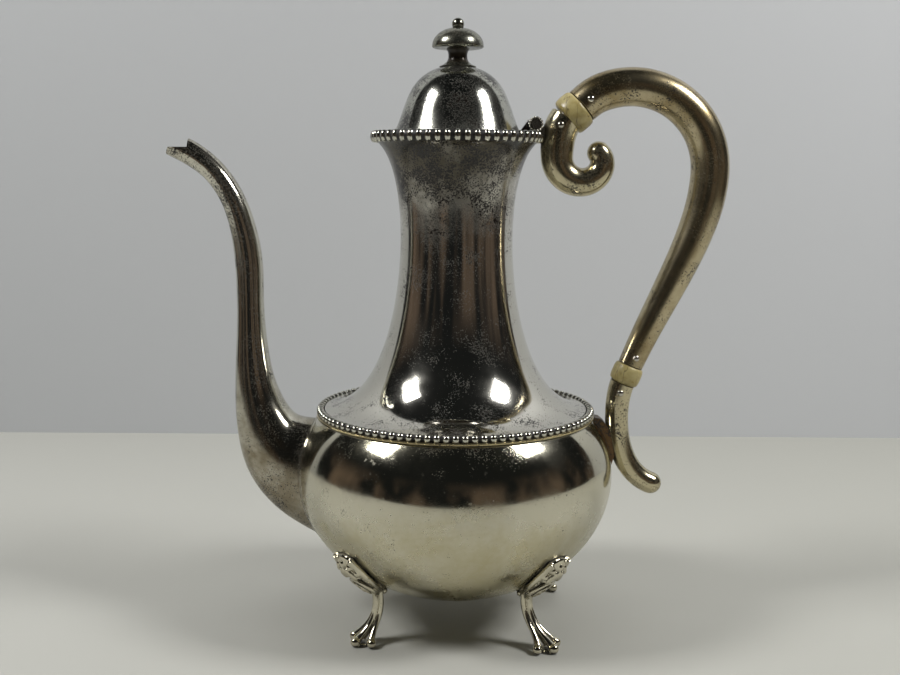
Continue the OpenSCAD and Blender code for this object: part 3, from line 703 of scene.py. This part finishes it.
bend_from = (BEND_X - BEND_R * 0.3, BEND_Z + BEND_R * 0.954, 6.7, 6.7)
grip_rise = [(*UPPER_STOP, 6.4, 6.4), (*(UPPER_STOP + 4 * upper_dir), 6.5, 6.5),
             (bend_from[0] - 5, bend_from[1] - 1.7, 6.6, 6.6), bend_from]
grip_bend = [(BEND_X + BEND_R * cos(radians(107.5) * (1 - i / 36)),
              BEND_Z + BEND_R * sin(radians(107.5) * (1 - i / 36)), 6.75, 6.75)
             for i in range(1, 37)]
grip_fall = [(BEND_X + BEND_R, BEND_Z, 6.75, 6.75),
             (BEND_X + BEND_R, BEND_Z - 22, 6.75, 6.75), (73.3, 120.3, 5.3, 5.3),
             (*LOWER_START, 4.5, 4.5)]
grip_line = eased(bezier(grip_rise, 12) + grip_bend + bezier(grip_fall, 44)[1:], 3)


def open_mouth(stations):
    """Rounds the first edge of a tube over, as a rolled sheet edge."""
    x, z, depth, width = stations[0]
    after = stations[1]
    length = hypot(after[0] - x, after[1] - z)
    dx, dz = (after[0] - x) / length, (after[1] - z) / length
    return [(x, z, depth - 0.9, width - 0.9), (x + 0.02 * dx, z + 0.02 * dz,
            depth - 0.35, width - 0.35), (x + 0.3 * dx, z + 0.3 * dz, depth, width)] \
        + [s for s in stations[1:] if hypot(s[0] - x, s[1] - z) > 0.5]


grip_tube = open_mouth(open_mouth(grip_line)[::-1])[::-1]
grip = bmesh.new()
lofted(grip, plane_places(grip_tube), 48)
piece("grip_tube", grip, "pot", grip_silver, "worn_silver", "grip")

socket_drop = [(*UPPER_START, 6.15, 6.15),
               (UPPER_START.x - 2.2, UPPER_START.y - 2.3, 6.1, 6.1),
               (35.1, 175.7, 6, 6), (35.1, 170.4, 5.8, 5.8)]
curl = []
for i in range(53):
    u = i / 52
    a, r, w = radians(175 + 205 * u), 10.1 - 5.2 * u**1.55, 5.75 + (4.1 - 5.75) * u
    curl.append((45.2 + r * cos(a), 169.2 + r * sin(a), w, w))
socket_line = eased(bezier(socket_drop, 16) + curl, 3)
socket = bmesh.new()
lofted(socket, plane_places(open_mouth(socket_line)) + round_tip(socket_line), 48)
piece("upper_scroll", socket, "pot", socket_silver, "worn_silver", "upper_socket")

tail = [(*LOWER_STOP, 4.45, 4.45), (57.1, 80, 4.2, 4.2), (57.6, 56.5, 3.9, 3.9),
        (71.8, 51.4, 4, 4)]
tail_line = bezier(tail, 40)
scroll = bmesh.new()
lofted(scroll, plane_places(open_mouth(tail_line)) + round_tip(tail_line), 40)
piece("lower_scroll", scroll, "pot", socket_silver, "worn_silver", "lower_socket")


def insulator(start, stop, end_r, bulge_r, peg_r):
    """A bone barrel between two pegs, on the line from start to stop."""
    length = (stop - start).length
    line = [(peg_r, -PEG_LENGTH), (peg_r, 0), (end_r - 0.3, 0)]
    for i in range(25):
        u = i / 12 - 1
        line.append((end_r + (bulge_r - end_r) * sqrt(1 - abs(u)**3),
                     0.12 + (length - 0.24) * i / 24))
    line += [(end_r - 0.3, length), (peg_r, length),
             (peg_r, length + PEG_LENGTH)]
    bm = turned([(0, -PEG_LENGTH)] + line + [(0, length + PEG_LENGTH)], closed=False,
                steps=64)
    turn = Matrix.Rotation(atan2(stop.x - start.x, stop.y - start.y), 4, "Y")
    bmesh.ops.transform(bm, matrix=Matrix.Translation((start.x, 0, start.y)) @ turn,
                        verts=bm.verts)
    return bm


piece("upper_bone", insulator(UPPER_START, UPPER_STOP, *UPPER_BONE), "pot",
      bone_finish("upper_bone", atan2(upper_dir.x, upper_dir.y)), "bone",
      "upper_insulator")
piece("lower_bone", insulator(LOWER_START, LOWER_STOP, *LOWER_BONE), "pot",
      bone_finish("lower_bone", atan2(lower_dir.x, lower_dir.y)), "bone",
      "lower_insulator")


def cross_pin(point, half):
    """A pin through the tube with a low domed head on each side."""
    outline = [(0, half + 0.55), (0.55, half + 0.5), (0.95, half + 0.3),
               (1.15, half), (1.1, half - 0.3)]
    bm = turned(outline + [(r, -z) for r, z in outline[::-1]], closed=False, steps=24)
    bmesh.ops.transform(bm, matrix=Matrix.Translation((point.x, 0, point.y))
                        @ Matrix.Rotation(pi / 2, 4, "X"), verts=bm.verts)
    return bm


for name, point, half in (
        ("upper_grip_pin", UPPER_STOP + PIN_SET * upper_dir, 6.5),
        ("upper_socket_pin", UPPER_START - PIN_SET * upper_dir, 6.15),
        ("lower_grip_pin", LOWER_START - PIN_SET * lower_dir, 4.75),
        ("lower_socket_pin", LOWER_STOP + PIN_SET * lower_dir, 4.35)):
    piece("headed_" + name, cross_pin(point, half), "pot", pin_silver, "silver", name)

# ---- lid --------------------------------------------------------------------
dome_low = FLANGE_Z + FLANGE_THICK
dome_line = bezier([(DOME_R, dome_low), (DOME_R - 4.5, dome_low + 9.1),
                    (DOME_R - 4.4, DOME_Z - 3.3), (6, DOME_Z)], 48)
dome_inner = moved_in(dome_line, LID_WALL)
piece("lid_shell", turned(
    [(20.7, FLANGE_Z), (26.8, FLANGE_Z), (27.02, FLANGE_Z + 0.12), (LID_R, FLANGE_Z + 0.35),
     (LID_R, dome_low - 0.35), (27.02, dome_low - 0.1), (26.8, dome_low)] + dome_line
    + [(STUD_R, DOME_Z), (STUD_R, DOME_Z - LID_WALL)] + dome_inner[:1:-1]),
      "lid", dome_silver, "silver", "lid_dome")
piece("lid_skirt", turned([(SKIRT_INNER_R, SKIRT_LOW_Z), (SKIRT_R, SKIRT_LOW_Z),
                           (SKIRT_R, FLANGE_Z), (SKIRT_INNER_R, FLANGE_Z)]),
      "lid", inner_silver, "silver", "lid_bezel")

stem_low = DOME_Z + COLLAR_H
piece("finial_base", turned(
    [(STUD_R, DOME_Z), (6.2, DOME_Z), (6.42, DOME_Z + 0.12), (6.42, DOME_Z + 0.3),
     (6.2, DOME_Z + 0.5), (5.7, DOME_Z + 0.68), (5.2, DOME_Z + 0.88),
     (4.75, DOME_Z + 1.15), (4.3, stem_low), (STUD_R, stem_low)]),
      "lid", finial_silver, "silver", "finial_collar")
stem_line = []
for i in range(33):
    u = i / 32
    stem_line.append((3.3 + 0.8 * abs(2 * u - 1) ** 2.5,
                      stem_low + (STEM_TOP_Z - stem_low) * u))
piece("finial_post", turned([(0, STUD_LOW_Z), (STUD_R, STUD_LOW_Z), (STUD_R, stem_low)]
                            + stem_line + [(0, STEM_TOP_Z)], closed=False),
      "lid", shaded_stem_silver, "silver", "finial_stem")
cap_line = [(CAP_R * cos(radians(3.75 * i)) ** 0.9,
             CAP_Z + CAP_RISE * sin(radians(3.75 * i)))
            for i in range(24)]
cap_line = [p for p in cap_line if p[0] > BALL_SEAT_R]
piece("finial_mushroom", turned(
    [(0, STEM_TOP_Z), (4.3, STEM_TOP_Z), (6.4, 206.25), (7.6, 206.3), (8.3, 206.4), (8.75, 206.6),
     (8.95, 206.8)] + cap_line + [(BALL_SEAT_R, BALL_SEAT_Z), (0, BALL_SEAT_Z)],
    closed=False),
      "lid", finial_silver, "silver", "finial_cap")
ball = bmesh.new()
bmesh.ops.create_uvsphere(ball, u_segments=48, v_segments=24, radius=BALL_R,
                          matrix=Matrix.Translation((0, 0, BALL_Z)))
bmesh.ops.bisect_plane(ball, geom=ball.verts[:] + ball.edges[:] + ball.faces[:],
                       plane_co=(0, 0, BALL_SEAT_Z), plane_no=(0, 0, -1), clear_outer=True)
bmesh.ops.holes_fill(ball, edges=[e for e in ball.edges if e.is_boundary], sides=0)
piece("finial_top_ball", ball, "lid", finial_silver, "silver", "finial_ball")

# ---- feet -------------------------------------------------------------------
# Each foot is cast. It is built here with X outward from the pot's axis.
KNEE_Z = 27.2
FOOT_RING_R, FOOT_SHIFT, FOOT_TURN, TOE_LEAN = 44, 2.2, -4, 1.8
# the globe's own radius of curve by the knee, and the stations of a shank
KNEE_CURVE_R, SHANK_STEPS = 50, 24
CASTING_GRAIN, CASTING_PASSES = 0.2, 1


def on_globe(along, across, lift):
    """A point on the globe by the knee: along its side, across it, lifted off."""
    a = acos((GLOBE_Z - KNEE_Z) / GLOBE_DOWN) + along / KNEE_CURVE_R
    out = Vector((sin(a) / GLOBE_R, -cos(a) / GLOBE_DOWN)).normalized()
    r = GLOBE_R * sin(a) + lift * out.x
    z = GLOBE_Z - GLOBE_DOWN * cos(a) + lift * out.y
    return Vector((r * cos(across / r), r * sin(across / r), z))


def boss(bm, along, across, lift, size):
    """An egg-shaped boss on the knee: half length, half width, half height."""
    here = on_globe(along, across, lift)
    run = (on_globe(along + 0.1, across, lift) - here).normalized()
    side = (on_globe(along, across + 0.1, lift) - here).normalized()
    stand = Matrix.Translation(here) @ Matrix(
        [(*row, 0) for row in Matrix((run, side, run.cross(side))).transposed()]
        + [(0, 0, 0, 1)])
    bmesh.ops.create_uvsphere(bm, u_segments=20, v_segments=12, radius=1,
                              matrix=stand @ Matrix.Diagonal((*size, 1)))


def moulding(bm, points, radii):
    """A raised line on the knee through points of (along, across, lift).

    radii is one number for them all, or a list of one for each.
    """
    if not isinstance(radii, list):
        radii = [radii] * len(points)
    path = [on_globe(*p) for p in points]
    out = (on_globe(0, 0, 1) - on_globe(0, 0, 0)).normalized()
    swept(bm, path, radii, 8, 0.9, out)


def oval(along, half_length, half_width, lift, start=0, stop=360, count=28):
    """Points round an oval on the knee, from start to stop degrees."""
    turns = [radians(start + (stop - start) * i / count) for i in range(count + 1)]
    return [(along + half_length * cos(a), half_width * sin(a), lift) for a in turns]


def cast_foot(reach, lean_side):
    """One foot that stands reach from the pot's axis, its toes turned to a side."""
    bm = bmesh.new()
    # the knee plate: a broad inner lobe with an eye, and an outer shell
    boss(bm, -4.6, 0, 0.4, (7.0, 5.6, 3.0))
    boss(bm, 5.0, 0, 0.4, (6.4, 5.9, 2.8))
    moulding(bm, oval(-4.4, 5.5, 4.2, 3.2), 0.8)
    moulding(bm, oval(-4.8, 3.0, 2.0, 3.8), 0.5)
    boss(bm, -5.0, 0, 3.7, (1.3, 1.0, 0.9))
    for side in (-1, 1):
        # the rim that sweeps from the shell down to a curl against the globe
        moulding(bm, [(10.5 - 2.1 * i, side * (3.9 + 2.0 * sin(pi * i / 9)), 1.5)
                      for i in range(10)], [1.25 - 0.04 * i for i in range(10)])
        moulding(bm, oval(-10.4, 1.7, 1.4, 1.4, 90 * side, -210 * side, 18), 0.7)
        for i in range(6):
            boss(bm, 0.4 + 1.7 * i, side * (5.2 - 0.1 * i * i), 1.2, (0.75, 1.4, 1.5))
    boss(bm, -12.4, 0, 1.0, (1.7, 1.9, 1.5))
    # the shell: five petals that fan from its root over a row of lips
    for i in range(5):
        spread = (i - 2) * 0.55
        for start, lift, size in ((3.2, 3.3, (2.6, 0.85, 1.1)), (6.2, 2.4, (1.4, 1.0, 1.3))):
            boss(bm, 2.4 + start * cos(spread), start * 0.85 * sin(spread), lift, size)
    moulding(bm, [(2.6, y, 3.3 - 0.06 * y * y) for y in (-4, -2.6, -1.3, 0, 1.3, 2.6, 4)],
             0.55)
    # the shank: three ribs that part into toes
    spine = bezier([(37.4, 21.5), (34.4, 11.0), (reach - 5.0, 7.6), (reach - 0.2, 2.4)],
                   SHANK_STEPS)
    lean = [TOE_LEAN * lean_side * (i / SHANK_STEPS) ** 1.8 for i in range(len(spine))]
    swept(bm, [Vector((x, y, z)) for (x, z), y in zip(spine, lean)],
          [1.35 - 0.2 * sin(pi * min(1, i / 20)) for i in range(len(spine))], 14, 0.85)
    for side in (-1, 0, 1):
        path, radii = [], []
        for i, (x, z) in enumerate(spine):
            t = i / SHANK_STEPS
            spread = side * (1.95 - 0.35 * sin(pi * t) + 2.6 * t**5)
            out = (1.2 + 1.5 * t**6) if side == 0 else 0.15 - 0.3 * t**5
            path.append(Vector((x + out, spread + lean[i], z - 0.4 * t**6)))
            radii.append(0.95 - 0.05 * sin(pi * t) + 0.45 * t**6)
        swept(bm, path, radii, 12)
        toe = path[-1] + Vector((0.4 if side == 0 else -0.1, side * 0.2, 0))
        bmesh.ops.create_uvsphere(
            bm, u_segments=20, v_segments=12, radius=1.75,
            matrix=Matrix.Translation((toe.x, toe.y, 1.78)))
    bmesh.ops.create_cone(bm, cap_ends=True, segments=40, radius1=3.2, radius2=2.6,
                          depth=1.2, matrix=Matrix.Translation((reach, lean[-1], 0.62)))
    return melted(bm, CASTING_GRAIN, CASTING_PASSES)


def foot_stand(angle):
    """Where a foot's pad stands, about the pot's axis."""
    a = radians(angle + FOOT_TURN)
    return FOOT_SHIFT + FOOT_RING_R * cos(a), FOOT_RING_R * sin(a)


for name, angle in (("foot_front_left", -135), ("foot_front_right", -45),
                    ("foot_back_left", 135), ("foot_back_right", 45)):
    x, y = foot_stand(angle)
    foot = cast_foot(hypot(x, y), -1 if x * y > 0 else 1)
    bmesh.ops.transform(foot, matrix=Matrix.Rotation(atan2(y, x), 4, "Z"),
                        verts=foot.verts)
    piece("cast_" + name, foot, "pot", foot_silver, "silver", name, crease=180)

# ---- hinge trim ---------------------------------------------------------------
rosette = bmesh.new()
for end in (-1, 1):
    for i in range(ROSETTE_BEADS):
        a = 2 * pi * i / ROSETTE_BEADS
        bmesh.ops.create_uvsphere(
            rosette, u_segments=10, v_segments=6, radius=ROSETTE_BEAD_R,
            matrix=Matrix.Translation((HINGE_X + ROSETTE_R * cos(a), end * (HINGE_Y - 0.1),
                                       HINGE_Z + ROSETTE_R * sin(a))))
piece("hinge_rosettes", rosette, "pot", pin_silver, "silver", crease=180)

# ---- carried-over CAD pieces --------------------------------------------------
for name, finish in (("rim_lug", bracket_silver), ("lower_bracket", bracket_silver),
                     ("hinge_leaf", hinge_silver), ("hinge_pin", pin_silver),
                     ("lid_leaf", hinge_silver), ("finial_nut", inner_silver)):
    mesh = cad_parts[name].data
    mesh.materials.clear()
    mesh.materials.append(finish)

# ---- table, light and camera --------------------------------------------------
# In metres, in the frame of the whole part.
WALL_Y, FRONT_Y, TABLE_WIDTH = 0.287, -0.5, 1.6
WALL_WIDTH, WALL_HEIGHT = 1.3, 0.9
CARD_ROUGHNESS, CARD_SPECULAR = 0.6, 0.2
AIM = (0, 0, 0.12)
BOX_X, BOX_Y, BOX_Z, BOX_SIZE = 0.67, -0.22, 0.76, (0.26, 0.25)
LEFT_POWER, RIGHT_POWER, TOP_POWER = 6.1, 6.5, 2.8
TOP_PLACE, TOP_SIZE = (0, 0, 1.2), (0.9, 0.7)
EYE_PLACE, EYE_TILT, EYE_ROLL = (0.0010, -0.400, 0.1646), 81.5, 0.37
SENSOR_WIDTH, LENS = 36, 44.84


def stage_finish(name, left, right):
    """Matt card with painted shade that grades from left to right, seen from its front only."""
    made, tree, shader, position = new_finish(name)
    # painted shade: darker towards the wall's left and towards the table's right
    across = tree.add("SeparateXYZ", {"Vector": position})
    across = tree.step(across.outputs["X"], -0.45, 0.3)
    tree.put(shader.inputs["Base Color"], tree.mix(across, (*left, 1), (*right, 1)))
    shader.inputs["Roughness"].default_value = CARD_ROUGHNESS
    shader.inputs["Specular IOR Level"].default_value = CARD_SPECULAR
    clear = tree.add("BsdfTransparent")
    side = tree.add("NewGeometry").outputs["Backfacing"]
    pick = tree.add("MixShader", {"Fac": side})
    tree.put(pick.inputs[1], shader.outputs[0])
    tree.put(pick.inputs[2], clear.outputs[0])
    tree.put(made.node_tree.nodes["Material Output"].inputs["Surface"], pick.outputs[0])
    return made


def card(name, width, depth, matrix, finish):
    """Adds a flat stage card with its front along the matrix's +Z."""
    bm = bmesh.new()
    bmesh.ops.create_grid(bm, x_segments=1, y_segments=1, size=1,
                          matrix=matrix @ Matrix.Diagonal((width / 2, depth / 2, 1, 1)))
    made = new_object(name, bm)
    made.data.materials.append(finish)


card("table_top", TABLE_WIDTH, WALL_Y - FRONT_Y,
     Matrix.Translation((0, (WALL_Y + FRONT_Y) / 2, 0)),
     stage_finish("table_card", (0.465, 0.462, 0.425), (0.44, 0.437, 0.395)))
card("back_card", WALL_WIDTH, WALL_HEIGHT,
     Matrix.Translation((0, WALL_Y, WALL_HEIGHT / 2)) @ Matrix.Rotation(pi / 2, 4, "X"),
     stage_finish("wall_card", (0.46, 0.47, 0.475), (0.56, 0.57, 0.58)))


def softbox(name, place, width, height, power):
    """A rectangular lamp that faces the pot."""
    lamp = bpy.data.lights.new(name, "AREA")
    lamp.shape, lamp.size, lamp.size_y = "RECTANGLE", width, height
    lamp.energy = power
    made = bpy.data.objects.new(name, lamp)
    made.location = place
    made.rotation_euler = (Vector(AIM) - Vector(place)).to_track_quat("-Z", "Y").to_euler()
    made.visible_camera = False
    scene.collection.objects.link(made)
    return made


softbox("left_box", (-BOX_X, BOX_Y, BOX_Z), *BOX_SIZE, LEFT_POWER)
softbox("right_box", (BOX_X, BOX_Y, BOX_Z), *BOX_SIZE, RIGHT_POWER)
softbox("top_box", TOP_PLACE, *TOP_SIZE, TOP_POWER).visible_glossy = False

world = bpy.data.worlds.new("studio")
scene.world = world
world.use_nodes = True
tree = Tree(world.node_tree)
back = world.node_tree.nodes["Background"]
sight = tree.add("LightPath").outputs["Is Camera Ray"]
around = tree.add("TexCoord").outputs["Generated"]
stretched = tree.add("Mapping", {"Vector": around, "Scale": (1, 1, 0.35)})
room = tree.noise(stretched.outputs[0], 2.6, 3, 0.55)
up = tree.add("SeparateXYZ", {"Vector": around})
low_down = tree.step(up.outputs["Z"], 0.05, 0.45, 1, 0)
patches = tree.math("MULTIPLY", tree.step(room, 0.4, 0.68), low_down)
room = tree.mix(patches, (0.011, 0.012, 0.012, 1), (0.15, 0.11, 0.082, 1))
tree.put(back.inputs["Color"], tree.mix(sight, room, (0.5, 0.5, 0.5, 1)))
back.inputs["Strength"].default_value = 1

eye = bpy.data.cameras.new("camera")
eye.sensor_width, eye.lens = SENSOR_WIDTH, LENS
camera = bpy.data.objects.new("camera", eye)
camera.matrix_world = (Matrix.Translation(EYE_PLACE)
                       @ Matrix.Rotation(radians(EYE_TILT), 4, "X")
                       @ Matrix.Rotation(radians(EYE_ROLL), 4, "Z"))
scene.collection.objects.link(camera)
scene.camera = camera
scene.view_settings.view_transform = "Standard"
